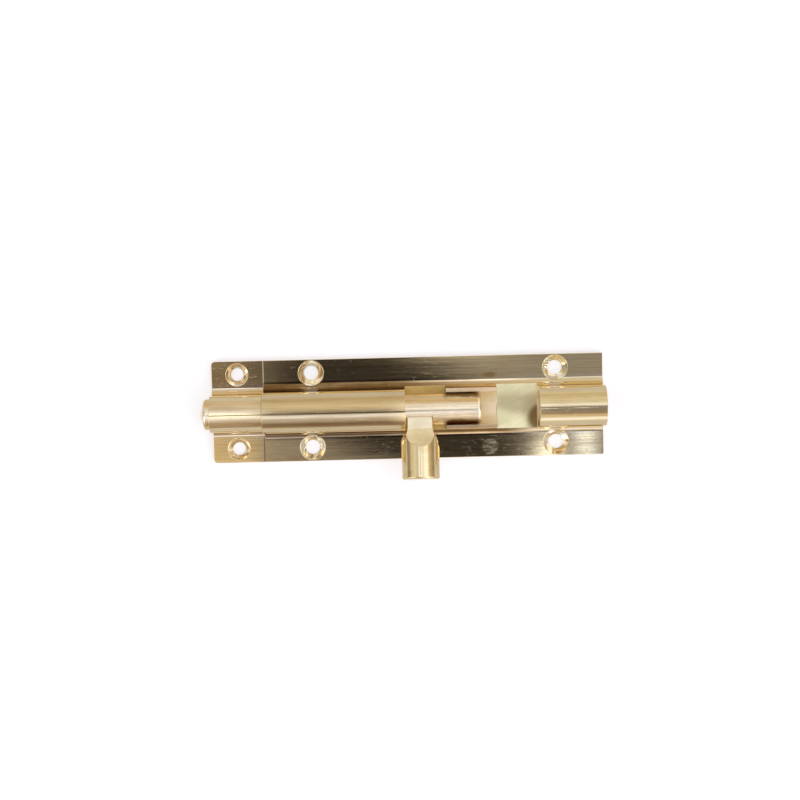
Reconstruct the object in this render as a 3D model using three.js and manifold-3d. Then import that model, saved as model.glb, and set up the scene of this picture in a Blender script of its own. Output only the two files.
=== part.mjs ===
// Brass barrel bolt (tower bolt) with its keeper, shot home with the knob turned down.
//
// Units are millimetres and +Z is up. The flat back lies on z = 0. The bolt runs along X,
// the keeper is at -X and the knob points to -Y. The origin is the middle of the body's back.

import * as THREE from 'three';
import { mergeVertices } from 'three/addons/utils/BufferGeometryUtils.js';
import Module from 'manifold-3d';

// Extruded sections of the body and the keeper: a flat plate with a round barrel on top
const plateWidth = 30;
const plateThickness = 2;
const axisHeight = 8.4;
const filletTop = 5.4;
const bodySection = { barrelRadius: 6, boreRadius: 4.85, filletReach: 2.2 };
const keeperSection = { barrelRadius: 5.4, boreRadius: 4.7, filletReach: 1.7 };

// Body
const bodyLength = 100;
const bodyHoleSpacingX = 72;
const holeSpacingY = 22;
const bodyHole = { diameter: 4.2, countersink: 7.5 };

// Window milled in the barrel: a deep notch at each end, with a rail wall on both sides between them
const notchLength = 12;
const notchPitch = 27;
const windowStart = -8.5;
const notchFloor = 3;
const railTop = 7.8;

// Keeper
const keeperLength = 15;
const keeperGap = 0.3;
const keeperHole = { diameter: 3.8, countersink: 6.6 };
const keeperCornerRadius = 1;

// Bolt rod, in two lengths that meet inside the closed barrel
const rodRadius = 4.5;
const rodTip = -68.2;
const rodTail = 13.7;
const rodSplit = -41;
const tipConeLength = 1.1;
const tipConeRadius = 3.9;
const tipRound = 0.6;
const tailRound = 1;
const spigotRadius = 2;
const spigotLength = 6;

// Knob, measured along its own axis from the rod's axis
const knobX = -4.3;
const knobRadius = 5.55;
const knobEnd = 20.4;
const knobChamfer = 0.4;
const neckHalfWidth = 3.6;
const neckUnderside = 1.2;
const neckEnd = 5.8;
const flareEnd = 11.2;
const seatDistance = 2.4;
const sideFlareSlope = 0.2;
const knobElevation = 10;

// Gap kept between two pieces that touch, and the overrun of a cutting tool past a face
const clearance = 0.3;
const overrun = 1;
const roundSegments = 64;

const wasm = await Module();
wasm.setup();

// Turns a shape drawn in (Y, Z) and extruded along its own normal into one that runs along X
const alongX = new THREE.Matrix4().makeBasis(
  new THREE.Vector3(0, 1, 0),
  new THREE.Vector3(0, 0, 1),
  new THREE.Vector3(1, 0, 0),
);

function toManifold(geometry) {
  const bare = geometry.clone();
  bare.deleteAttribute('normal');
  bare.deleteAttribute('uv');
  const merged = mergeVertices(bare);
  return new wasm.Manifold(new wasm.Mesh({
    numProp: 3,
    vertProperties: new Float32Array(merged.attributes.position.array),
    triVerts: new Uint32Array(merged.index.array),
  }));
}

function toGeometry(manifold) {
  const mesh = manifold.getMesh();
  const geometry = new THREE.BufferGeometry();
  geometry.setAttribute('position', new THREE.BufferAttribute(mesh.vertProperties, mesh.numProp));
  geometry.setIndex(new THREE.BufferAttribute(mesh.triVerts, 1));
  geometry.computeVertexNormals();
  return geometry;
}

function block(xMin, xMax, yMin, yMax, zMin, zMax) {
  const box = new THREE.BoxGeometry(xMax - xMin, yMax - yMin, zMax - zMin);
  return toManifold(box.translate((xMin + xMax) / 2, (yMin + yMax) / 2, (zMin + zMax) / 2));
}

function extrudedAlongX(shape, xStart, length) {
  const geometry = new THREE.ExtrudeGeometry(shape, {
    depth: length,
    bevelEnabled: false,
    curveSegments: roundSegments / 2,
  });
  return toManifold(geometry.applyMatrix4(alongX).translate(xStart, 0, 0));
}

// A turned piece on the X axis, from (x, radius) points in order of x
function turnedAlongX(points) {
  const profile = points.map(([x, radius]) => new THREE.Vector2(radius, x));
  const geometry = new THREE.LatheGeometry(profile, roundSegments);
  return toManifold(geometry.rotateZ(-Math.PI / 2).rotateX(Math.PI / 2));
}

function quarterRound(x, radius, size, direction) {
  const steps = 6;
  return Array.from({ length: steps + 1 }, (_, i) => {
    const angle = (i / steps) * (Math.PI / 2);
    const along = direction > 0 ? Math.sin(angle) : Math.cos(angle);
    const inward = direction > 0 ? Math.cos(angle) : Math.sin(angle);
    return [x + direction * size * along, radius - size + size * inward];
  });
}

// Plate, concave fillets, upright legs and the round top of the barrel, with the bore through it
function plateSection({ barrelRadius, boreRadius, filletReach }) {
  const shape = new THREE.Shape();
  shape.moveTo(-plateWidth / 2, 0);
  shape.lineTo(plateWidth / 2, 0);
  shape.lineTo(plateWidth / 2, plateThickness);
  shape.lineTo(barrelRadius + filletReach, plateThickness);
  const filletHeight = filletTop - plateThickness;
  const filletCentre = barrelRadius + filletReach;
  shape.absellipse(filletCentre, filletTop, filletReach, filletHeight, 1.5 * Math.PI, Math.PI, true);
  shape.lineTo(barrelRadius, axisHeight);
  shape.absarc(0, axisHeight, barrelRadius, 0, Math.PI, false);
  shape.lineTo(-barrelRadius, filletTop);
  shape.absellipse(-filletCentre, filletTop, filletReach, filletHeight, 0, 1.5 * Math.PI, true);
  shape.lineTo(-plateWidth / 2, plateThickness);
  shape.closePath();
  const bore = new THREE.Path();
  bore.absarc(0, axisHeight, boreRadius, 0, 2 * Math.PI, true);
  shape.holes.push(bore);
  return shape;
}

// A countersunk screw hole's tool: a plain hole with a cone that opens at the plate's top
function screwTool({ diameter, countersink }, x, y) {
  const coneDepth = (countersink - diameter) / 2;
  const profile = [
    new THREE.Vector2(0, -overrun),
    new THREE.Vector2(diameter / 2, -overrun),
    new THREE.Vector2(diameter / 2, plateThickness - coneDepth),
    new THREE.Vector2(countersink / 2, plateThickness),
    new THREE.Vector2(countersink / 2, plateThickness + overrun),
    new THREE.Vector2(0, plateThickness + overrun),
  ];
  const geometry = new THREE.LatheGeometry(profile, roundSegments / 2);
  return toManifold(geometry.rotateX(Math.PI / 2).translate(x, y, 0));
}

function withScrewHoles(solid, hole, xPositions) {
  const sides = [-holeSpacingY / 2, holeSpacingY / 2];
  return xPositions.reduce(
    (rest, x) => sides.reduce((part, y) => part.subtract(screwTool(hole, x, y)), rest),
    solid,
  );
}

function barrelBody() {
  const full = extrudedAlongX(plateSection(bodySection), -bodyLength / 2, bodyLength);
  const windowEnd = windowStart + notchPitch + notchLength;
  const top = axisHeight + bodySection.barrelRadius + overrun;
  const side = bodySection.barrelRadius + bodySection.filletReach;
  const opened = full
    .subtract(block(windowStart, windowEnd, -side, side, railTop, top))
    .subtract(block(windowStart, windowStart + notchLength, -side, side, notchFloor, top))
    .subtract(block(windowEnd - notchLength, windowEnd, -side, side, notchFloor, top));
  return withScrewHoles(opened, bodyHole, [-bodyHoleSpacingX / 2, bodyHoleSpacingX / 2]);
}

// The keeper's plan outline, with the two corners at its far end rounded
function keeperOutline(xFar, xNear) {
  const half = plateWidth / 2;
  const outline = new THREE.Shape();
  outline.moveTo(xNear + overrun, -half - overrun);
  outline.lineTo(xNear + overrun, half + overrun);
  outline.lineTo(xNear, half);
  outline.lineTo(xFar + keeperCornerRadius, half);
  outline.absarc(xFar + keeperCornerRadius, half - keeperCornerRadius, keeperCornerRadius,
    Math.PI / 2, Math.PI, false);
  outline.lineTo(xFar, -half + keeperCornerRadius);
  outline.absarc(xFar + keeperCornerRadius, -half + keeperCornerRadius, keeperCornerRadius,
    Math.PI, 1.5 * Math.PI, false);
  outline.lineTo(xNear, -half);
  outline.closePath();
  return outline;
}

function keeperBody() {
  const xNear = -bodyLength / 2 - keeperGap;
  const xFar = xNear - keeperLength;
  const full = extrudedAlongX(plateSection(keeperSection), xFar, keeperLength);
  const height = axisHeight + keeperSection.barrelRadius + 2 * overrun;
  const trim = new THREE.ExtrudeGeometry(keeperOutline(xFar, xNear), {
    depth: height,
    bevelEnabled: false,
    curveSegments: 6,
  });
  const rounded = full.intersect(toManifold(trim.translate(0, 0, -overrun)));
  return withScrewHoles(rounded, keeperHole, [xNear - keeperLength / 2]);
}

// Front length of the rod: a shallow pointed nose, and a blind bore for the tail's spigot
function rodFront() {
  const coneEnd = rodTip + tipConeLength;
  const turned = turnedAlongX([
    [rodTip, 0],
    [coneEnd, tipConeRadius],
    [coneEnd + tipRound, rodRadius],
    [rodSplit, rodRadius],
    [rodSplit, 0],
  ]);
  const boreStart = rodSplit - spigotLength - clearance;
  const bore = turnedAlongX([
    [boreStart, 0],
    [boreStart, spigotRadius + clearance],
    [rodSplit + overrun, spigotRadius + clearance],
    [rodSplit + overrun, 0],
  ]);
  return turned.subtract(bore);
}

// Tail length of the rod: spigot, rounded end, and a flat seat with a hole for the knob's stem
function rodTailPiece() {
  const start = rodSplit + clearance;
  const turned = turnedAlongX([
    [start - spigotLength, 0],
    [start - spigotLength, spigotRadius],
    [start, spigotRadius],
    [start, rodRadius],
    ...quarterRound(rodTail - tailRound, rodRadius, tailRound, 1),
    [rodTail, 0],
  ]);
  const seatHalfLength = neckHalfWidth + clearance;
  const seat = block(knobX - seatHalfLength, knobX + seatHalfLength,
    -rodRadius - overrun, -seatDistance, -rodRadius - overrun, rodRadius + overrun);
  const stemHole = new THREE.CylinderGeometry(spigotRadius + clearance, spigotRadius + clearance,
    2 * (rodRadius + overrun), roundSegments / 2);
  return turned.subtract(seat).subtract(toManifold(stemHole.translate(knobX, 0, 0)));
}

// How far a milled face lies from the knob's axis plane, at a distance along the knob's axis
function faceDistance(distance, { neck, slope }) {
  const length = flareEnd - neckEnd;
  const u = distance - neckEnd;
  const spread = knobRadius - neck;
  return neck + slope * u + (spread - slope * length) * (u / length) ** 2;
}

// One milled face's outline, drawn across the knob's axis (x) and along it (y), from the neck out
function faceOutline(face) {
  const steps = 12;
  const flare = Array.from({ length: steps + 1 }, (_, i) => {
    const distance = neckEnd + (i / steps) * (flareEnd - neckEnd);
    return new THREE.Vector2(faceDistance(distance, face), -distance);
  });
  const far = knobRadius + overrun;
  return [
    new THREE.Vector2(face.neck, rodRadius + overrun),
    ...flare,
    new THREE.Vector2(far, -flareEnd - overrun / 2),
    new THREE.Vector2(far, -knobEnd - overrun),
  ];
}

// The space between two opposite milled faces, one at +x and the other at -x
function milledFaces(right, left) {
  const mirrored = faceOutline(left).map((p) => new THREE.Vector2(-p.x, p.y)).reverse();
  const shape = new THREE.Shape([...faceOutline(right), ...mirrored]);
  const depth = 2 * (knobRadius + overrun);
  const geometry = new THREE.ExtrudeGeometry(shape, { depth, bevelEnabled: false });
  return geometry.translate(0, 0, -depth / 2);
}

// Knob on the -Y axis: a stem through the rod, a flat-sided neck, a four-sided flare and a round grip.
// The neck's underside is cut back, so that it passes over the rail wall.
function knobPiece() {
  const stemEnd = rodRadius - clearance;
  const neckStart = seatDistance + clearance;
  const corner = Math.hypot(neckHalfWidth, neckHalfWidth);
  const profile = [
    new THREE.Vector2(0, -knobEnd),
    new THREE.Vector2(knobRadius - knobChamfer, -knobEnd),
    new THREE.Vector2(knobRadius, -knobEnd + knobChamfer),
    new THREE.Vector2(knobRadius, -neckEnd),
    new THREE.Vector2(corner, -neckStart),
    new THREE.Vector2(spigotRadius, -neckStart),
    new THREE.Vector2(spigotRadius, stemEnd),
    new THREE.Vector2(0, stemEnd),
  ];
  const turned = toManifold(new THREE.LatheGeometry(profile, roundSegments));
  const side = { neck: neckHalfWidth, slope: sideFlareSlope };
  const top = { neck: neckHalfWidth, slope: 0 };
  const underside = { neck: neckUnderside, slope: 0 };
  const acrossX = toManifold(milledFaces(side, side));
  const acrossZ = toManifold(milledFaces(underside, top).rotateY(Math.PI / 2));
  return turned.intersect(acrossX).intersect(acrossZ);
}

function brass(color, roughness) {
  return new THREE.MeshStandardMaterial({ color, roughness, metalness: 1 });
}

function named(name, manifold, material) {
  const mesh = new THREE.Mesh(toGeometry(manifold), material);
  mesh.name = name;
  return mesh;
}

const part = new THREE.Group();
part.add(named('barrel_body', barrelBody(), brass(0xb09a6a, 0.28)));
part.add(named('keeper', keeperBody(), brass(0xb89a62, 0.3)));

const rodAxis = new THREE.Group();
rodAxis.position.z = axisHeight;
part.add(rodAxis);
rodAxis.add(named('rod_front', rodFront(), brass(0xd0ae70, 0.24)));

const turning = new THREE.Group();
turning.rotation.x = -THREE.MathUtils.degToRad(knobElevation);
rodAxis.add(turning);
turning.add(named('rod_tail', rodTailPiece(), brass(0xd4b478, 0.26)));

const knob = named('knob', knobPiece(), brass(0xd2b070, 0.18));
knob.position.x = knobX;
turning.add(knob);

export default part;
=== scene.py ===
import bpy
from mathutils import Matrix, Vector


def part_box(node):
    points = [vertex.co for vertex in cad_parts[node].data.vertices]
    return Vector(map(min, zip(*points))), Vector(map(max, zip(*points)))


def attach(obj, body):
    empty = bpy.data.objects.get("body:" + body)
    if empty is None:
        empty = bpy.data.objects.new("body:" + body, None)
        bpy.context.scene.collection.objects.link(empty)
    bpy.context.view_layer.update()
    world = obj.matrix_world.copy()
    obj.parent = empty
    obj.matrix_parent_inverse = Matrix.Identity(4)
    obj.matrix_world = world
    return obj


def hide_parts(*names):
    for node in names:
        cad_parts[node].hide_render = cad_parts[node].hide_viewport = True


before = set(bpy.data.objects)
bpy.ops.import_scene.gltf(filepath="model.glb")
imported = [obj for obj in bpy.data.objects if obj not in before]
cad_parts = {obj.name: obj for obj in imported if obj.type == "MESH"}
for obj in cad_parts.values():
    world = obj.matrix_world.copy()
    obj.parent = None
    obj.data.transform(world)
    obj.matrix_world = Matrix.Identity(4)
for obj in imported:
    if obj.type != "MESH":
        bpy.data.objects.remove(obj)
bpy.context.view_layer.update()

import math

import bmesh
import bpy
from mathutils import Matrix, Vector

# ---------------------------------------------------------------------------
# Sizes, in millimetres. Meshes are drawn in millimetres and stored in metres.
# ---------------------------------------------------------------------------
MM = 0.001

body_low, body_high = [Vector(corner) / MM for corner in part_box("barrel_body")]
keeper_low, keeper_high = [Vector(corner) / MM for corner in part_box("keeper")]
rod_low, rod_high = [Vector(corner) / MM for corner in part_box("rod_front")]
tail_high = Vector(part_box("rod_tail")[1]) / MM

PLATE_HALF = body_high.y
PLATE_TOP = 2.0
AXIS = (rod_low.z + rod_high.z) / 2
FILLET_TOP = 5.4
HOLE_Y = 11.0

# The keeper's near end reaches towards the body by this much, which makes the seam a fine one
SEAM_CLOSING = 0.2

# The extruded pieces: length along X, radii of barrel and bore, foot of the fillet, screw holes
BODY = {
    "start": body_low.x, "end": body_high.x,
    "barrel": body_high.z - AXIS, "bore": 4.85, "foot": 8.2,
    "holes": (-36.0, 36.0), "hole": 4.2, "sink": 7.5,
}
KEEPER = {
    "start": keeper_low.x, "end": keeper_high.x + SEAM_CLOSING,
    "barrel": keeper_high.z - AXIS, "bore": 4.7, "foot": 7.1,
    "holes": ((keeper_low.x + keeper_high.x) / 2,), "hole": 3.8, "sink": 6.6,
}
KEEPER_CORNER = 1.0

# The window in the barrel: a notch at each end, and rail walls between them
NOTCH = 12.0
NOTCH_PITCH = 27.0
WINDOW_START = -8.5
WINDOW_END = WINDOW_START + NOTCH_PITCH + NOTCH
LEFT_NOTCH = (WINDOW_START, WINDOW_START + NOTCH)
RIGHT_NOTCH = (WINDOW_END - NOTCH, WINDOW_END)
NOTCH_FLOOR = 3.0
RAIL_TOP = 7.8

ROD = (rod_high.z - rod_low.z) / 2
ROD_TIP = rod_low.x
SPLIT = rod_high.x
SPLIT_GAP = 0.3
TAIL_END = tail_high.x
NOSE = 1.1
NOSE_ROUNDING = 0.75
TAIL_ROUNDING = 1.1

# The knob, measured along its own axis from the rod's axis
KNOB_X = -4.3
KNOB = 5.55
KNOB_END = 20.4
KNOB_RIM = 0.4
KNOB_TILT = math.radians(10)
NECK_HALF = 3.6
NECK_UNDER = 1.2
NECK_END = 5.8
FLARE_END = 11.2
SEAT = 2.4
SEAT_PLAY = 0.25
SIDE_SLOPE = 0.2

# How far a cutting tool runs past the face it cuts
OVERRUN = 1.0

# Points nearer to each other than this become one before the edges are rounded
WELD = 0.004

ROUND_SEGMENTS = 96


# ---------------------------------------------------------------------------
# Mesh helpers
# ---------------------------------------------------------------------------
def arc(centre, radii, start, end, steps):
    """Points on an ellipse's arc, angles in degrees, both ends included."""
    points = []
    for i in range(steps + 1):
        a = math.radians(start + (end - start) * i / steps)
        points.append((centre[0] + radii[0] * math.cos(a), centre[1] + radii[1] * math.sin(a)))
    return points


def make_object(name, bm, matrix=None):
    """An object in metres from a bmesh in millimetres."""
    bmesh.ops.recalc_face_normals(bm, faces=bm.faces)
    mesh = bpy.data.meshes.new(name)
    bm.to_mesh(mesh)
    bm.free()
    if matrix is not None:
        mesh.transform(matrix)
    mesh.transform(Matrix.Scale(MM, 4))
    obj = bpy.data.objects.new(name, mesh)
    bpy.context.scene.collection.objects.link(obj)
    return obj


def prism(outline, low, high, axes):
    """A closed prism: outline points lie along axes[0] and axes[1], and it runs low to high on axes[2]."""
    bm = bmesh.new()
    rings = []
    for level in (low, high):
        ring = []
        for a, b in outline:
            place = [0.0, 0.0, 0.0]
            place["xyz".index(axes[0])] = a
            place["xyz".index(axes[1])] = b
            place["xyz".index(axes[2])] = level
            ring.append(bm.verts.new(place))
        rings.append(ring)
    count = len(outline)
    bm.faces.new(rings[0])
    bm.faces.new(rings[1])
    for i in range(count):
        j = (i + 1) % count
        bm.faces.new((rings[0][i], rings[0][j], rings[1][j], rings[1][i]))
    return bm


def turned(profile, segments, to_axis):
    """A closed turned solid from (distance, radius) points. to_axis turns local +Z to where it points."""
    bm = bmesh.new()
    rings = []
    for distance, radius in profile:
        if radius < 1e-6:
            rings.append([bm.verts.new((0, 0, distance))])
            continue
        ring = []
        for i in range(segments):
            a = 2 * math.pi * i / segments
            ring.append(bm.verts.new((radius * math.cos(a), radius * math.sin(a), distance)))
        rings.append(ring)
    for low, high in zip(rings, rings[1:]):
        for i in range(segments):
            j = (i + 1) % segments
            corners = [low[i % len(low)], low[j % len(low)], high[j % len(high)], high[i % len(high)]]
            bm.faces.new(list(dict.fromkeys(corners)))
    for verts in (rings[0], rings[-1]):
        if len(verts) > 1:
            bm.faces.new(verts)
    bm.transform(to_axis)
    return bm


def block(low, high):
    """A box between two opposite corners."""
    outline = [(low[0], low[1]), (high[0], low[1]), (high[0], high[1]), (low[0], high[1])]
    return prism(outline, low[2], high[2], "xyz")


def boolean(obj, bm, operation, matrix=None):
    """Cuts the bmesh's solid from obj, or keeps only their common part."""
    tool = make_object("tool", bm, matrix)
    modifier = obj.modifiers.new("cut", "BOOLEAN")
    modifier.operation = operation
    modifier.solver = "MANIFOLD"
    modifier.object = tool
    apply_modifiers(obj)
    bpy.data.objects.remove(tool)


def apply_modifiers(obj):
    """Replaces obj's mesh by what its modifiers make of it."""
    bpy.context.view_layer.update()
    evaluated = obj.evaluated_get(bpy.context.evaluated_depsgraph_get())
    mesh = bpy.data.meshes.new_from_object(evaluated)
    old = obj.data
    obj.modifiers.clear()
    obj.data = mesh
    mesh.name = obj.name
    bpy.data.meshes.remove(old)


def soften_edges(obj, width, angle=32):
    """Rounds every edge sharper than the angle, and shades the curved faces smooth."""
    bm = bmesh.new()
    bm.from_mesh(obj.data)
    bmesh.ops.remove_doubles(bm, verts=bm.verts, dist=WELD * MM)
    bmesh.ops.dissolve_degenerate(bm, edges=bm.edges, dist=WELD * MM)
    bm.to_mesh(obj.data)
    bm.free()
    bevel = obj.modifiers.new("edges", "BEVEL")
    bevel.width = width * MM
    bevel.segments = 3
    bevel.limit_method = "ANGLE"
    bevel.angle_limit = math.radians(angle)
    bevel.use_clamp_overlap = False
    bevel.miter_outer = "MITER_ARC"
    bevel.harden_normals = True
    obj.data.shade_smooth()
    normals = obj.modifiers.new("normals", "WEIGHTED_NORMAL")
    normals.keep_sharp = True
    normals.weight = 60
    apply_modifiers(obj)


# ---------------------------------------------------------------------------
# Extruded pieces
# ---------------------------------------------------------------------------
def section_outline(part):
    """The extrusion's outline in (y, z): plate, concave fillets, legs and round barrel."""
    foot, barrel = part["foot"], part["barrel"]
    reach, rise = foot - barrel, FILLET_TOP - PLATE_TOP
    right = [(PLATE_HALF, 0.0), (PLATE_HALF, PLATE_TOP)]
    right += arc((foot, FILLET_TOP), (reach, rise), 270, 180, 16)
    left = [(-y, z) for y, z in reversed(right)]
    return right + arc((0, AXIS), (barrel, barrel), 0, 180, 72) + left


def along_x(profile):
    """A turned solid along +X, from (x, radius) points."""
    return turned(profile, ROUND_SEGMENTS, Matrix.Rotation(math.pi / 2, 4, "Y"))


def cut_bore(obj, part):
    ends = (part["start"] - OVERRUN, part["end"] + OVERRUN)
    bore = along_x([(x, part["bore"]) for x in ends])
    boolean(obj, bore, "DIFFERENCE", Matrix.Translation((0, 0, AXIS)))


def cut_screw_holes(obj, part):
    """Cuts a plain hole with a 90 degree countersink at each of the part's screw places."""
    hole, sink = part["hole"] / 2, part["sink"] / 2
    cone_start = PLATE_TOP - (sink - hole)
    profile = [(-OVERRUN, hole), (cone_start, hole), (PLATE_TOP, sink), (PLATE_TOP + OVERRUN, sink)]
    for x in part["holes"]:
        for y in (-HOLE_Y, HOLE_Y):
            tool = turned(profile, 64, Matrix.Identity(4))
            boolean(obj, tool, "DIFFERENCE", Matrix.Translation((x, y, 0)))


def extruded(name, part):
    """A length of the section with its bore, before it is milled and drilled."""
    obj = make_object(name, prism(section_outline(part), part["start"], part["end"], "yzx"))
    cut_bore(obj, part)
    return obj


def cut_window(obj):
    side, top = BODY["foot"], body_high.z + OVERRUN
    cuts = (
        (WINDOW_START, WINDOW_END, RAIL_TOP),
        (*LEFT_NOTCH, NOTCH_FLOOR),
        (*RIGHT_NOTCH, NOTCH_FLOOR),
    )
    for start, end, floor in cuts:
        boolean(obj, block((start, -side, floor), (end, side, top)), "DIFFERENCE")


def make_body():
    obj = extruded("body_brass", BODY)
    cut_window(obj)
    cut_screw_holes(obj, BODY)
    soften_edges(obj, 0.09)
    return obj


def keeper_plan():
    """The keeper's plan outline in (x, y), its two far corners rounded."""
    end, side = KEEPER["end"] + OVERRUN, PLATE_HALF + OVERRUN
    x, y = KEEPER["start"] + KEEPER_CORNER, PLATE_HALF - KEEPER_CORNER
    radii = (KEEPER_CORNER, KEEPER_CORNER)
    outline = [(end, -side), (end, side), (x, PLATE_HALF)]
    outline += arc((x, y), radii, 90, 180, 8)[1:]
    outline += arc((x, -y), radii, 180, 270, 8)
    return outline


def make_keeper():
    obj = extruded("keeper_brass", KEEPER)
    boolean(obj, prism(keeper_plan(), -OVERRUN, keeper_high.z + OVERRUN, "xyz"), "INTERSECT")
    cut_screw_holes(obj, KEEPER)
    soften_edges(obj, 0.10)
    return obj


# ---------------------------------------------------------------------------
# Rod and knob
# ---------------------------------------------------------------------------
def knob_frame():
    """From the knob's own frame, where it points along +Z and X stays X, to its place at rest."""
    down = Matrix.Rotation(math.pi / 2, 4, "X")
    raised = Matrix.Rotation(-KNOB_TILT, 4, "X")
    return Matrix.Translation((KNOB_X, 0, AXIS)) @ raised @ down


def make_rod_front():
    """The front length: a shallow nose with a blunt tip and a rounded shoulder."""
    cone_end = ROD_TIP + NOSE
    centre = (cone_end + NOSE_ROUNDING, ROD - NOSE_ROUNDING)
    profile = [(ROD_TIP, 0.0), (ROD_TIP + 0.12, 0.9), (cone_end - 0.1, 3.6)]
    profile += arc(centre, (NOSE_ROUNDING, NOSE_ROUNDING), 150, 90, 8)
    profile += [(SPLIT, ROD)]
    obj = make_object("rod_front_brass", along_x(profile), Matrix.Translation((0, 0, AXIS)))
    soften_edges(obj, 0.08)
    return obj


def make_rod_tail():
    """The tail length: a rounded end, and a flat seat for the knob's neck."""
    centre = (TAIL_END - TAIL_ROUNDING, ROD - TAIL_ROUNDING)
    end_arc = arc(centre, (TAIL_ROUNDING, TAIL_ROUNDING), 90, 0, 10)
    profile = [(SPLIT + SPLIT_GAP, ROD)] + end_arc
    obj = make_object("rod_tail_brass", along_x(profile), Matrix.Translation((0, 0, AXIS)))
    half, reach = NECK_HALF + SEAT_PLAY, ROD + OVERRUN
    seat = block((-half, -reach, SEAT), (half, reach, reach))
    boolean(obj, seat, "DIFFERENCE", knob_frame())
    soften_edges(obj, 0.1)
    return obj


def face_distance(distance, neck, slope):
    """How far a milled face lies from the knob's axis, at a distance along that axis."""
    length = FLARE_END - NECK_END
    u = distance - NECK_END
    return neck + slope * u + (KNOB - neck - slope * length) * (u / length) ** 2


def face_outline(neck, slope):
    """One milled face's outline, as (offset, distance along the knob) points from the neck out."""
    steps = 20
    far = KNOB + OVERRUN
    points = [(neck, 0.0)]
    for i in range(steps + 1):
        distance = NECK_END + (FLARE_END - NECK_END) * i / steps
        points.append((face_distance(distance, neck, slope), distance))
    return points + [(far, FLARE_END + KNOB_RIM), (far, KNOB_END + OVERRUN)]


def milled_faces(right, left, slope, axes):
    """The space between two opposite milled faces, whose necks lie at +right and -left."""
    mirrored = [(-offset, distance) for offset, distance in reversed(face_outline(left, slope))]
    return prism(face_outline(right, slope) + mirrored, -KNOB - OVERRUN, KNOB + OVERRUN, axes)


def make_knob():
    """A round grip, then four milled faces that curve in to a square neck, flat at the rod's seat."""
    corner = NECK_HALF * math.sqrt(2)
    grip_end = KNOB_END - KNOB_RIM
    profile = [(SEAT + 0.02, corner), (NECK_END, KNOB), (grip_end, KNOB), (KNOB_END, KNOB - KNOB_RIM)]
    place = knob_frame()
    obj = make_object("knob_brass", turned(profile, 128, Matrix.Identity(4)), place)
    boolean(obj, milled_faces(NECK_HALF, NECK_HALF, SIDE_SLOPE, "xzy"), "INTERSECT", place)
    boolean(obj, milled_faces(NECK_HALF, NECK_UNDER, 0.0, "yzx"), "INTERSECT", place)
    soften_edges(obj, 0.1, angle=28)
    return obj


# ---------------------------------------------------------------------------
# Colours
# ---------------------------------------------------------------------------
BRASS = (0.91, 0.74, 0.42)
ROD_BRASS = (0.94, 0.70, 0.34)
DRILLED_BRASS = (1.00, 0.92, 0.72)
MILLED_BRASS = (1.00, 0.94, 0.58)
# Painted shade: the left notch's floor, a darker copy of the milled brass
SHADED_NOTCH_BRASS = (0.80, 0.54, 0.17)
BORED_BRASS = (0.96, 0.78, 0.50)
RAIL_BRASS = (0.93, 0.70, 0.44)
# The neck's milled faces: paler than the flare's, partly their brushed finish, partly painted highlight
NECK_FINISH_AND_HIGHLIGHT = (1.00, 0.88, 0.62)
PALE_FILLET = (0.98, 0.86, 0.64)
# Painted highlight along the crest of the rod
CREST_HIGHLIGHT = (1.00, 0.86, 0.60)
SCRATCH = (0.95, 0.88, 0.72)
OCHRE = (0.62, 0.38, 0.10)
# Painted shade on the rod's flanks beside the rail walls: its colour, and a browner tint of its reflection
FLANK_SHADE = (0.11, 0.055, 0.02)
FLANK_SHADE_SPECULAR = (0.25, 0.15, 0.06)
WHITE = (1.0, 1.0, 1.0)

# Tints, which multiply a colour
# The dark tint for painted shade in the seam, notches and rails, and for the darker fillets
SHADE_AND_DARKENING = (0.24, 0.16, 0.08)
BROWNED = (0.80, 0.68, 0.55)
DULLED = (0.86, 0.88, 0.95)
STREAKED = (0.76, 0.72, 0.66)
TARNISHED = (0.86, 0.8, 0.7)
CLOUDED = (0.86, 0.86, 0.80)
CUTTER_MARKED = (0.8, 0.78, 0.7)
CHATTERED = (0.82, 0.68, 0.5)

# Marks on the plate, as (x, y) in metres
STAIN = (16.5 * MM, -11.9 * MM)
OCHRE_SPOT = (16.7 * MM, 9.3 * MM)

FLOOR_GLOW = 0.42


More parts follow.
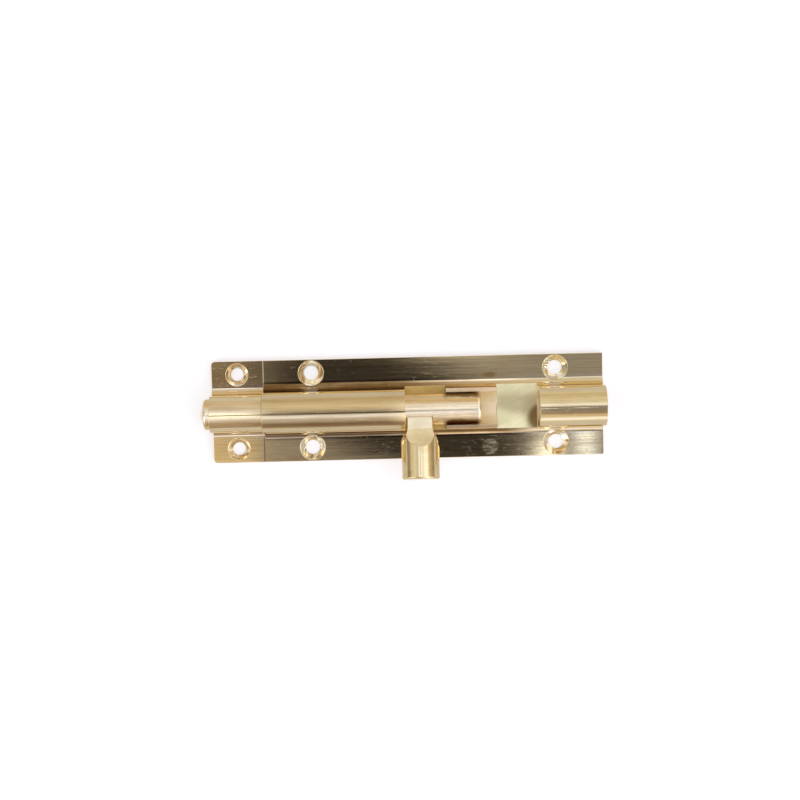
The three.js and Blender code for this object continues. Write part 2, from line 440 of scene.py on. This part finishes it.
# ---------------------------------------------------------------------------
# Materials
# ---------------------------------------------------------------------------
class Nodes:
    """Short helpers to wire the nodes of a material or of the world."""

    def __init__(self, tree, coordinates):
        self.tree = tree
        self.place = self.add("ShaderNodeTexCoord").outputs[coordinates]
        split = self.add("ShaderNodeSeparateXYZ")
        self.feed(split.inputs[0], self.place)
        self.x, self.y, self.z = split.outputs

    def add(self, kind, **settings):
        node = self.tree.nodes.new(kind)
        for key, value in settings.items():
            setattr(node, key, value)
        return node

    def feed(self, socket, value):
        """Sets a socket to a number or colour, or links it to another node's output."""
        if isinstance(value, (int, float)):
            socket.default_value = value
        elif isinstance(value, tuple):
            socket.default_value = (*value, 1.0) if len(socket.default_value) == 4 else value
        else:
            self.tree.links.new(value, socket)

    def mapped(self, vector, scale=(1, 1, 1), turn=(0, 0, 0)):
        """The vector scaled along each axis, then turned."""
        node = self.add("ShaderNodeMapping")
        self.feed(node.inputs["Scale"], scale)
        self.feed(node.inputs["Rotation"], turn)
        self.feed(node.inputs["Vector"], vector)
        return node.outputs["Vector"]

    def scaled_after(self, turn, per_mm):
        """The place with so many steps per millimetre along each axis, after a turn of the axes."""
        return self.mapped(self.mapped(self.place, turn=turn), scale=tuple(f / MM for f in per_mm))

    def noise(self, per_mm, turn=(0, 0, 0), detail=3.0, rough=0.55):
        """Noise with so many features per millimetre along each axis, after a turn of the axes."""
        node = self.add("ShaderNodeTexNoise")
        self.feed(node.inputs["Scale"], 1.0)
        self.feed(node.inputs["Detail"], detail)
        self.feed(node.inputs["Roughness"], rough)
        self.feed(node.inputs["Vector"], self.scaled_after(turn, per_mm))
        return node.outputs["Fac"]

    def ramp(self, value, stops):
        """The colour at the value, between (position, colour) stops."""
        node = self.add("ShaderNodeValToRGB")
        elements = node.color_ramp.elements
        while len(elements) < len(stops):
            elements.new(0.5)
        for element, (position, colour) in zip(elements, stops):
            element.position = position
            element.color = (*colour, 1.0)
        self.feed(node.inputs["Fac"], value)
        return node.outputs["Color"]

    def mix(self, factor, a, b):
        node = self.add("ShaderNodeMix", data_type="RGBA")
        for socket, value in zip((node.inputs[0], node.inputs[6], node.inputs[7]), (factor, a, b)):
            self.feed(socket, value)
        return node.outputs[2]

    def tinted(self, colour, tint):
        node = self.add("ShaderNodeVectorMath", operation="MULTIPLY")
        self.feed(node.inputs[0], colour)
        self.feed(node.inputs[1], tint)
        return node.outputs[0]

    def math(self, operation, a, b=0.0, c=0.0):
        node = self.add("ShaderNodeMath", operation=operation)
        for socket, value in zip(node.inputs, (a, b, c)):
            self.feed(socket, value)
        return node.outputs[0]

    def times(self, a, b):
        return self.math("MULTIPLY", a, b)

    def plus(self, a, b):
        return self.math("ADD", a, b)

    def fade(self, value, low, high, to_low=0.0, to_high=1.0):
        """Runs smoothly from to_low to to_high as the value goes from low to high."""
        node = self.add("ShaderNodeMapRange", interpolation_type="SMOOTHSTEP")
        for socket, number in zip(node.inputs[1:5], (low, high, to_low, to_high)):
            self.feed(socket, number)
        self.feed(node.inputs["Value"], value)
        return node.outputs["Result"]

    def fade_mm(self, place, low, high, to_low=0.0, to_high=1.0):
        """The same for a place in metres, with its two limits in millimetres."""
        return self.fade(place, low * MM, high * MM, to_low, to_high)

    def patch(self, place, centre, stretch, core, edge):
        """1 inside a soft oval patch round the centre, and 0 outside it."""
        squares = []
        for axis in (0, 1):
            offset = self.math("SUBTRACT", place[axis], centre[axis])
            squares.append(self.math("POWER", self.times(offset, stretch[axis]), 2.0))
        return self.fade(self.math("SQRT", self.plus(*squares)), core, edge, 1.0, 0.0)

    def strokes(self, per_mm, turn, length):
        """1 on short scattered strokes: stretched cells, painted near their middles."""
        node = self.add("ShaderNodeTexVoronoi")
        self.feed(node.inputs["Scale"], 1.0)
        self.feed(node.inputs["Vector"], self.scaled_after(turn, per_mm))
        return self.fade(node.outputs["Distance"], length * 0.6, length, 1.0, 0.0)

    def bump(self, height, distance, normal=None):
        """Raises the surface by the height times a distance in millimetres."""
        node = self.add("ShaderNodeBump")
        self.feed(node.inputs["Strength"], 1.0)
        self.feed(node.inputs["Distance"], distance * MM)
        self.feed(node.inputs["Height"], height)
        if normal is not None:
            self.feed(node.inputs["Normal"], normal)
        return node.outputs["Normal"]


def shaded(colour, tint):
    """The colour times the tint, part by part."""
    return tuple(part * factor for part, factor in zip(colour, tint))


def fillet(n):
    """1 in the fillets along the barrel, from their foot up."""
    foot = n.fade_mm(n.math("ABSOLUTE", n.y), BODY["foot"] + 0.1, BODY["foot"] + 0.7, 1.0, 0.0)
    return n.times(foot, n.fade_mm(n.z, PLATE_TOP + 0.5, AXIS + 0.6, 1.0, 0.1))


def fillet_darkening(n):
    """Darker in the body's fillets, most of it at +Y and towards the keeper."""
    upper = n.times(n.fade_mm(n.x, -15, 25, 0.95, 0.0), n.fade_mm(n.y, -1, 1))
    lower = n.times(n.fade_mm(n.x, 20, 32, 0.75, 0.0), n.fade_mm(n.y, -1, 1, 1.0, 0.0))
    on_body = n.fade_mm(n.x, BODY["start"] - 0.3, BODY["start"])
    return n.times(fillet(n), n.times(n.plus(upper, lower), on_body))


def seam_painted_shade(n):
    """Painted shade in the seam between the body and the keeper, at -Y."""
    seam = (BODY["start"] + keeper_high.x) / 2
    across = n.math("ABSOLUTE", n.math("SUBTRACT", n.x, seam * MM))
    return n.times(n.fade_mm(across, 0.18, 0.38, 1.0, 0.0), n.fade_mm(n.y, -8, -7, 0.8, 0.0))


def flank_painted_shade(n):
    """Painted shade low on the rod's flanks, and a little along its +Y edge, where the rail walls stand
    beside it.
    """
    edge = n.plus(n.y, n.times(n.noise((0.25, 0.25, 0.25), detail=3), 2 * MM))
    flanks = n.math("MAXIMUM", n.fade_mm(edge, -2.6, -1.4, 1.0, 0.0), n.fade_mm(edge, 4.3, 4.9, 0.0, 0.8))
    past_neck = n.fade_mm(n.x, 2, 4)
    before_end = n.fade_mm(n.x, TAIL_END - 1.6, TAIL_END, 1.0, 0.3)
    return n.times(flanks, n.times(past_neck, before_end))


def notch_painted_shade(n):
    """Painted shade across the middle of the right notch, and in its far corner at -Y beside the barrel's
    end.
    """
    slanted = n.plus(n.y, n.times(n.x, 0.25))
    middle = n.times(n.fade_mm(slanted, 2.5, 5.5, 0.0, 0.42), n.fade_mm(n.y, 2, 5, 1.0, 0.1))
    corner_place = ((WINDOW_END + 0.5) * MM, -3.6 * MM)
    corner = n.patch((n.x, n.y), corner_place, (1.0, 0.8), 2.2 * MM, 4.8 * MM)
    return n.math("MAXIMUM", middle, corner)


def rail_painted_shade(n):
    """Painted shade: the rail at -Y is painted darker."""
    return n.fade_mm(n.y, -1, 1, 0.6, 0.1)


def plate_marks(n, flecks):
    """How much of the surface is a dull mark: one stain on the plate, and scratches all over."""
    stain = n.patch((n.x, n.y), STAIN, (1.0, 1.0), 2.1 * MM, 2.7 * MM)
    marks = n.times(stain, n.fade(flecks, 0.38, 0.62, 0.12, 0.42))
    turns_lengths_fineness = (
        (55, 0.06, 1), (-20, 0.045, 1), (100, 0.05, 1), (8, 0.07, 1), (35, 0.05, 2), (120, 0.06, 2),
    )
    for turn, length, fine in turns_lengths_fineness:
        per_mm = (0.05 * fine, 1.1 * fine, 1.1 * fine)
        scratch = n.strokes(per_mm, (0, 0, math.radians(turn)), length)
        marks = n.math("MAXIMUM", marks, n.times(scratch, 0.55))
    return marks


def aged_tone(n, base, stains, dull, with_crest_highlight):
    """Brass with brown stains and dull flecks, pale fillets that are darker in places, painted shade in
    the seam, a painted highlight along a turned piece's top, and one ochre spot.
    """
    tone = n.mix(n.fade(stains, 0.48, 0.72, 0.0, 0.45), base, shaded(base, BROWNED))
    tone = n.mix(n.times(dull, 0.5), tone, shaded(base, DULLED))
    tone = n.mix(n.times(fillet(n), 0.5), tone, PALE_FILLET)
    # Painted highlight: a paler band along the crest of a turned piece, where it faces up
    if with_crest_highlight:
        top = n.fade_mm(n.math("ABSOLUTE", n.y), 1.8, 2.8, 1.0, 0.0)
        tone = n.mix(top, tone, CREST_HIGHLIGHT)
    patchy = n.fade(stains, 0.25, 0.65, 0.7, 1.0)
    # Darker fillets, and painted shade in the seam
    darkening_and_seam_shade = n.math("MAXIMUM", n.times(fillet_darkening(n), patchy), seam_painted_shade(n))
    tone = n.mix(darkening_and_seam_shade, tone, shaded(base, SHADE_AND_DARKENING))
    spot = n.patch((n.x, n.y), OCHRE_SPOT, (0.5, 1.2), 0.5 * MM, 1.4 * MM)
    return n.mix(n.times(spot, 0.7), tone, OCHRE)


def new_metal(name, metallic=1.0):
    """An empty material, the helper that wires its nodes, and its shader."""
    material = bpy.data.materials.new(name)
    material.use_nodes = True
    shader = material.node_tree.nodes["Principled BSDF"]
    shader.inputs["Metallic"].default_value = metallic
    return material, Nodes(material.node_tree, "Object"), shader


def drawn_brass(name, base, rough, rings=0.0):
    """Bright drawn brass: gentle waves, lengthwise die lines and brushing, and the marks of age.

    rings adds turning marks round X, of that depth in millimetres, with a painted highlight along the top
    and painted shade low on the flanks.
    """
    material, n, shader = new_metal(name)
    waves = n.noise((0.012, 0.25, 0.25), detail=1)
    die_lines = n.noise((0.015, 2.4, 2.4), detail=3)
    brushing = n.noise((0.10, 1.8, 1.8), detail=4, rough=0.6)
    stains = n.noise((0.06, 0.20, 0.20), detail=5, rough=0.65)
    flecks = n.noise((0.45, 1.8, 1.8), detail=5, rough=0.7)
    dull = n.fade(flecks, 0.58, 0.74)
    streaks = n.fade(n.times(n.plus(die_lines, brushing), 0.5), 0.42, 0.62, 0.0, 0.5)
    marks = plate_marks(n, flecks)

    tone = aged_tone(n, base, stains, dull, rings > 0)
    tone = n.mix(streaks, tone, n.tinted(tone, STREAKED))
    tone = n.mix(marks, tone, SCRATCH)
    roughness = n.plus(n.times(dull, 0.14), n.times(die_lines, 0.08))
    normal = n.bump(waves, 0.010)
    normal = n.bump(die_lines, 0.0006, normal)
    normal = n.bump(flecks, 0.0010, normal)
    normal = n.bump(brushing, 0.0016, normal)
    if rings:
        # Painted shade on the rod's flanks: a dark colour and a browner reflection there
        flank_shade_mask = flank_painted_shade(n)
        tone = n.mix(flank_shade_mask, tone, FLANK_SHADE)
        n.feed(shader.inputs["Specular Tint"], n.mix(flank_shade_mask, WHITE, FLANK_SHADE_SPECULAR))
        normal = n.bump(n.noise((7.0, 0.05, 0.05), detail=1), rings, normal)

    n.feed(shader.inputs["Base Color"], tone)
    n.feed(shader.inputs["Metallic"], n.fade(marks, 0.0, 1.0, 1.0, 0.3))
    n.feed(shader.inputs["Roughness"], n.plus(roughness, rough - 0.04))
    n.feed(shader.inputs["Normal"], normal)
    return material


def turned_brass(name, base, rough, turn):
    """Turned brass: fine rings round an axis, which the turn brings to Y."""
    material, n, shader = new_metal(name)
    rings = n.noise((0.05, 4.0, 0.05), turn=turn, detail=4)
    stains = n.noise((0.25, 0.25, 0.25), detail=4, rough=0.65)
    tone = n.mix(n.fade(stains, 0.45, 0.75), base, shaded(base, TARNISHED))
    n.feed(shader.inputs["Base Color"], tone)
    n.feed(shader.inputs["Roughness"], n.plus(n.times(rings, 0.16), rough - 0.08))
    n.feed(shader.inputs["Normal"], n.bump(rings, 0.004))
    return material


def milled_brass(name, base, rough, turn=(0, 0, 0), painted_shade=None):
    """Milled brass: paler and satin, with the cutter's marks along X before the turn."""
    material, n, shader = new_metal(name, metallic=0.40)
    marks = n.noise((0.10, 1.3, 1.3), turn=turn, detail=4, rough=0.6)
    cloud = n.noise((0.15, 0.15, 0.15), detail=3)
    tone = n.mix(n.fade(cloud, 0.42, 0.66), base, shaded(base, CLOUDED))
    tone = n.mix(n.fade(marks, 0.35, 0.7, 0.0, 0.5), tone, shaded(base, CUTTER_MARKED))
    # Painted shade, where a mask is given: the colour goes towards the dark tint there
    if painted_shade:
        tone = n.mix(painted_shade(n), tone, shaded(base, SHADE_AND_DARKENING))
    n.feed(shader.inputs["Base Color"], tone)
    n.feed(shader.inputs["Roughness"], n.plus(n.times(marks, 0.16), rough - 0.08))
    n.feed(shader.inputs["Normal"], n.bump(marks, 0.012))
    return material


def drilled_brass(name, base, rough):
    """Brass left by a countersink: bright, with the drill's chatter in uneven facets."""
    material, n, shader = new_metal(name)
    chatter = n.noise((0.32, 0.32, 0.32), detail=0)
    tone = n.mix(n.fade(chatter, 0.48, 0.62), base, shaded(base, CHATTERED))
    n.feed(shader.inputs["Base Color"], tone)
    n.feed(shader.inputs["Roughness"], n.plus(n.times(chatter, 0.2), rough - 0.1))
    n.feed(shader.inputs["Normal"], n.bump(chatter, 0.8))
    return material


def floor_material():
    """A pale light table: it glows straight up, which keeps the shadows soft."""
    material = bpy.data.materials.new("floor")
    material.use_nodes = True
    n = Nodes(material.node_tree, "Object")
    shader = material.node_tree.nodes["Principled BSDF"]
    cloud = n.noise((0.004, 0.004, 0.004), detail=2)
    stops = ((0.3, (0.66, 0.65, 0.65)), (0.7, (0.68, 0.67, 0.67)))
    n.feed(shader.inputs["Base Color"], n.ramp(cloud, stops))
    shader.inputs["Roughness"].default_value = 0.9
    shader.inputs["Emission Color"].default_value = (*WHITE, 1.0)
    facing = n.add("ShaderNodeLayerWeight").outputs["Facing"]
    n.feed(shader.inputs["Emission Strength"], n.fade(facing, 0.07, 0.24, FLOOR_GLOW, 0.0))
    return material


def paint(obj, material, chosen):
    """Gives the faces that chosen(face) picks this material."""
    obj.data.materials.append(material)
    slot = len(obj.data.materials) - 1
    for face in obj.data.polygons:
        if chosen(face):
            face.material_index = slot


def faces_up_at(height, start, end):
    """Faces that look up at one height, between two places along the bolt."""
    def chosen(face):
        place = face.center / MM
        return face.normal.z > 0.99 and abs(place.z - height) < 0.05 and start < place.x < end
    return chosen


def in_bore(part):
    def chosen(face):
        place = face.center / MM
        from_axis = math.hypot(place.y, place.z - AXIS)
        return abs(face.normal.x) < 0.1 and from_axis < part["bore"] + 0.02
    return chosen


def in_countersink(part):
    def chosen(face):
        x, y, z = face.center / MM
        from_hole = min(math.hypot(x - hole, abs(y) - HOLE_Y) for hole in part["holes"])
        return from_hole < part["sink"] / 2 and z < PLATE_TOP - 0.02
    return chosen


def milled_from_knob(start, end):
    """Faces cut in from the turned round, between two distances along the knob."""
    to_knob = (Matrix.Scale(MM, 4) @ knob_frame()).inverted()

    def chosen(face):
        x, y, distance = to_knob @ face.center
        return start < distance < end and math.hypot(x, y) < KNOB - 0.02
    return chosen


# ---------------------------------------------------------------------------
# Stage: camera, floor and soft light
# ---------------------------------------------------------------------------
CAMERA_PLACE = (-9.9, 41.9, 500.0)
CAMERA_TURN = (-4.53, -0.11, -1.38)
VIEW_ANGLE = 26.6
FLOOR_HALF = 3000.0
FLOOR_TOP = -0.02
FLOOR_BOTTOM = -10.0


def make_camera():
    """Nearly straight down on the plate, leaning a little from +Y, turned a little in its own plane."""
    data = bpy.data.cameras.new("camera")
    data.sensor_width = 36.0
    data.angle = math.radians(VIEW_ANGLE)
    data.clip_start = 0.01
    data.clip_end = 50
    camera = bpy.data.objects.new("camera", data)
    camera.location = Vector(CAMERA_PLACE) * MM
    camera.rotation_euler = [math.radians(angle) for angle in CAMERA_TURN]
    bpy.context.scene.collection.objects.link(camera)
    bpy.context.scene.camera = camera


def make_floor():
    """A wide flat slab just under the bolt's back."""
    slab = block((-FLOOR_HALF, -FLOOR_HALF, FLOOR_BOTTOM), (FLOOR_HALF, FLOOR_HALF, FLOOR_TOP))
    floor = make_object("floor", slab)
    floor.data.materials.append(floor_material())


def softbox(name, direction, distance, size, radiance):
    """A rectangular light whose surface has the given radiance, aimed at the origin."""
    data = bpy.data.lights.new(name, "AREA")
    data.shape = "RECTANGLE"
    data.size, data.size_y = size
    data.energy = radiance * math.pi * size[0] * size[1]
    light = bpy.data.objects.new(name, data)
    light.location = Vector(direction).normalized() * distance
    light.rotation_euler = light.location.to_track_quat("Z", "Y").to_euler()
    bpy.context.scene.collection.objects.link(light)


def make_lights():
    """One softbox at each end, a little towards the knob's side."""
    softbox("left", (-0.87, -0.42, 0.5), 1.5, (0.8, 1.2), 1.4)
    softbox("right", (0.85, -0.42, 0.53), 1.5, (0.8, 1.2), 1.4)


# The studio's light, as (angle, colour) stops. The first four go by the angle from straight up
# towards +Y, each as one length of the bolt sees it: keeper, left barrel, rod and right barrel.
# ALONG goes by the angle towards +X, for what lies past the bolt's two ends.
ACROSS_KEEPER = (
    (-100, (0.70, 0.62, 0.50)), (-88, (0.42, 0.35, 0.32)), (-62, (0.44, 0.35, 0.30)),
    (-49, (0.54, 0.47, 0.47)), (-36, (0.74, 0.73, 0.84)), (-24, (1.15, 1.20, 1.55)),
    (-9, (1.50, 1.65, 2.05)), (-7.5, (0.80, 0.70, 0.55)), (-6, (0.72, 0.60, 0.46)),
    (-4.4, (0.22, 0.17, 0.14)), (-2.8, (0.22, 0.17, 0.14)), (-0.5, (1.60, 1.75, 2.10)),
    (13, (1.20, 1.30, 1.70)), (22, (0.88, 0.93, 1.20)), (34, (0.70, 0.69, 0.80)),
    (60, (0.76, 0.71, 0.71)), (90, (0.66, 0.59, 0.52)),
)
ACROSS_LEFT = (
    (-100, (0.70, 0.62, 0.50)), (-88, (0.45, 0.38, 0.33)), (-78, (0.26, 0.19, 0.16)),
    (-62, (0.24, 0.18, 0.16)), (-52, (0.44, 0.38, 0.38)), (-32, (0.62, 0.62, 0.70)),
    (-25, (0.98, 1.02, 1.35)), (-15, (0.94, 1.00, 1.30)), (-8, (0.32, 0.30, 0.33)),
    (1, (0.28, 0.25, 0.24)), (12, (0.50, 0.46, 0.44)), (22, (0.66, 0.60, 0.53)),
    (36, (0.78, 0.71, 0.62)), (55, (0.66, 0.60, 0.49)), (75, (0.56, 0.47, 0.37)),
    (92, (0.66, 0.57, 0.46)),
)
ACROSS_MIDDLE = (
    (-100, (0.12, 0.08, 0.05)), (-85, (0.28, 0.20, 0.12)), (-76, (0.48, 0.37, 0.26)),
    (-67, (0.70, 0.60, 0.46)), (-57, (1.50, 1.35, 1.15)), (-35, (1.85, 1.80, 1.95)),
    (-12, (1.95, 1.90, 2.05)), (-8, (0.32, 0.30, 0.32)), (-3, (0.30, 0.29, 0.30)),
    (1, (1.75, 1.72, 1.90)), (30, (1.40, 1.42, 1.60)), (46, (1.10, 1.08, 1.15)),
    (58, (0.72, 0.62, 0.52)), (95, (0.68, 0.55, 0.42)), (110, (0.45, 0.34, 0.22)),
)
ACROSS_RIGHT = (
    (-100, (0.80, 0.74, 0.62)), (-85, (0.74, 0.72, 0.72)), (-77, (1.10, 1.15, 1.42)),
    (-66, (1.10, 1.15, 1.40)), (-58, (0.78, 0.70, 0.62)), (-44, (0.66, 0.56, 0.45)),
    (-37, (0.36, 0.30, 0.26)), (-18, (0.30, 0.29, 0.32)), (-9, (0.30, 0.30, 0.34)),
    (0, (0.30, 0.30, 0.33)), (8, (1.00, 1.05, 1.30)), (16, (1.00, 1.04, 1.20)),
    (24, (0.74, 0.74, 0.74)), (42, (0.78, 0.73, 0.65)), (70, (0.65, 0.60, 0.48)),
    (92, (0.78, 0.70, 0.60)),
)
ALONG = (
    (-90, (0.30, 0.26, 0.22)), (-72, (0.34, 0.28, 0.22)), (-60, (0.66, 0.62, 0.55)),
    (-35, (0.80, 0.80, 0.80)), (-16, (0.55, 0.53, 0.52)), (0, (0.45, 0.44, 0.44)),
    (12, (0.80, 0.82, 0.90)), (22, (1.25, 1.30, 1.55)), (40, (1.25, 1.30, 1.50)),
    (50, (0.74, 0.66, 0.54)), (70, (0.46, 0.38, 0.28)), (90, (0.34, 0.29, 0.24)),
)

# Where one length's light passes into the next, by the x of the direction
KEEPER_TO_LEFT = (-0.088, -0.080)
LEFT_TO_MIDDLE = (-0.005, 0.015)
MIDDLE_TO_RIGHT = (0.055, 0.080)
BOLT_TO_ENDS = (0.14, 0.34)

# The dark of the camera and its holder overhead: colour, centre, stretch, core and edge
OVERHEAD = ((0.030, 0.026, 0.026), (-0.002, -0.084), (1.0, 1.3), 0.044, 0.088)

# Small lamps and gaps that the right end of the plate mirrors: centre, core, edge and colour
PATCHES = (
    ((0.086, -0.120), 0.003, 0.010, (1.90, 2.05, 2.50)),
    ((0.1085, -0.108), 0.0035, 0.009, (1.85, 2.10, 2.90)),
    ((0.1000, -0.110), 0.003, 0.006, (0.03, 0.02, 0.02)),
    ((0.1190, -0.110), 0.004, 0.008, (0.10, 0.08, 0.07)),
)
PATCH_STRETCH = (1.0, 0.4)


def by_turn(stops):
    """Ramp stops for angles round X, with straight up in the ramp's middle."""
    return [(0.5 + angle / 360, colour) for angle, colour in stops]


def by_sine(stops):
    """Ramp stops for angles towards +X, by their sines, with straight up in the ramp's middle."""
    return [(0.5 + 0.5 * math.sin(math.radians(angle)), colour) for angle, colour in stops]


def make_world():
    """The studio round the bolt: soft light and dark zones, and the dark of the camera overhead."""
    world = bpy.data.worlds.new("studio")
    world.use_nodes = True
    n = Nodes(world.node_tree, "Generated")
    across = n.math("MULTIPLY_ADD", n.math("ARCTAN2", n.y, n.z), 0.5 / math.pi, 0.5)
    along = n.math("MULTIPLY_ADD", n.x, 0.5, 0.5)

    keeper_end, left, middle, right = [
        n.ramp(across, by_turn(stops))
        for stops in (ACROSS_KEEPER, ACROSS_LEFT, ACROSS_MIDDLE, ACROSS_RIGHT)
    ]
    sky = n.mix(n.fade(n.x, *KEEPER_TO_LEFT), keeper_end, left)
    sky = n.mix(n.fade(n.x, *LEFT_TO_MIDDLE), sky, middle)
    sky = n.mix(n.fade(n.x, *MIDDLE_TO_RIGHT), sky, right)
    sky = n.mix(n.fade(n.math("ABSOLUTE", n.x), *BOLT_TO_ENDS), sky, n.ramp(along, by_sine(ALONG)))

    # The dark overhead leans: towards +Y its middle lies further to -X
    dark, centre, stretch, core, edge = OVERHEAD
    leaning = n.plus(n.x, n.math("SUBTRACT", n.y, centre[1]))
    sky = n.mix(n.patch((leaning, n.y), centre, stretch, core, edge), sky, dark)
    for centre, core, edge, colour in PATCHES:
        sky = n.mix(n.patch((n.x, n.y), centre, PATCH_STRETCH, core, edge), sky, colour)
    n.feed(world.node_tree.nodes["Background"].inputs["Color"], sky)
    bpy.context.scene.world = world


# ---------------------------------------------------------------------------
# Assembly
# ---------------------------------------------------------------------------
def place_piece(obj, node, body, material):
    """Puts the piece in the CAD node's place, on its moving body, in its main material."""
    obj.data.materials.clear()
    obj.data.materials.append(material)
    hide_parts(node)
    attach(obj, body)


across_notch = (0, 0, math.radians(-25))
along_knob = (KNOB_TILT, 0, 0)
drawn = drawn_brass("drawn_brass", BRASS, 0.055)
satin = drawn_brass("satin_brass", ROD_BRASS, 0.22, rings=0.012)
polished = turned_brass("turned_brass", BRASS, 0.14, along_knob)
drilled = drilled_brass("drilled_brass", DRILLED_BRASS, 0.12)
# The right notch's floor, with painted shade across its middle and in its far corner
milled = milled_brass("milled_brass", MILLED_BRASS, 0.45, across_notch, notch_painted_shade)
# Painted shade: the left notch's floor beside the knob, darker than the right notch's
shaded_notch = milled_brass("shaded_notch_brass", SHADED_NOTCH_BRASS, 0.40, across_notch)
bored = milled_brass("bored_brass", BORED_BRASS, 0.38)
# The rail tops, the one at -Y with painted shade
rails = milled_brass("rail_brass", RAIL_BRASS, 0.38, painted_shade=rail_painted_shade)
# The neck's faces, paler than the flare: brushed finish with painted highlight
brushed = milled_brass("brushed_brass", NECK_FINISH_AND_HIGHLIGHT, 0.34, along_knob)
flared = milled_brass("flared_brass", BRASS, 0.34, along_knob)

bpy.context.scene.view_settings.view_transform = "Standard"
make_camera()
make_world()
make_lights()
make_floor()

body = make_body()
place_piece(body, "barrel_body", "body", drawn)
paint(body, milled, faces_up_at(NOTCH_FLOOR, *RIGHT_NOTCH))
paint(body, shaded_notch, faces_up_at(NOTCH_FLOOR, *LEFT_NOTCH))
paint(body, bored, in_bore(BODY))
paint(body, rails, faces_up_at(RAIL_TOP, WINDOW_START, WINDOW_END))
paint(body, drilled, in_countersink(BODY))

keeper = make_keeper()
place_piece(keeper, "keeper", "keeper", drawn)
paint(keeper, drilled, in_countersink(KEEPER))

rod_front = make_rod_front()
place_piece(rod_front, "rod_front", "rod", satin)
rod_tail = make_rod_tail()
place_piece(rod_tail, "rod_tail", "knob", satin)

knob = make_knob()
place_piece(knob, "knob", "knob", polished)
paint(knob, brushed, milled_from_knob(-NECK_END, NECK_END))
paint(knob, flared, milled_from_knob(NECK_END, FLARE_END))
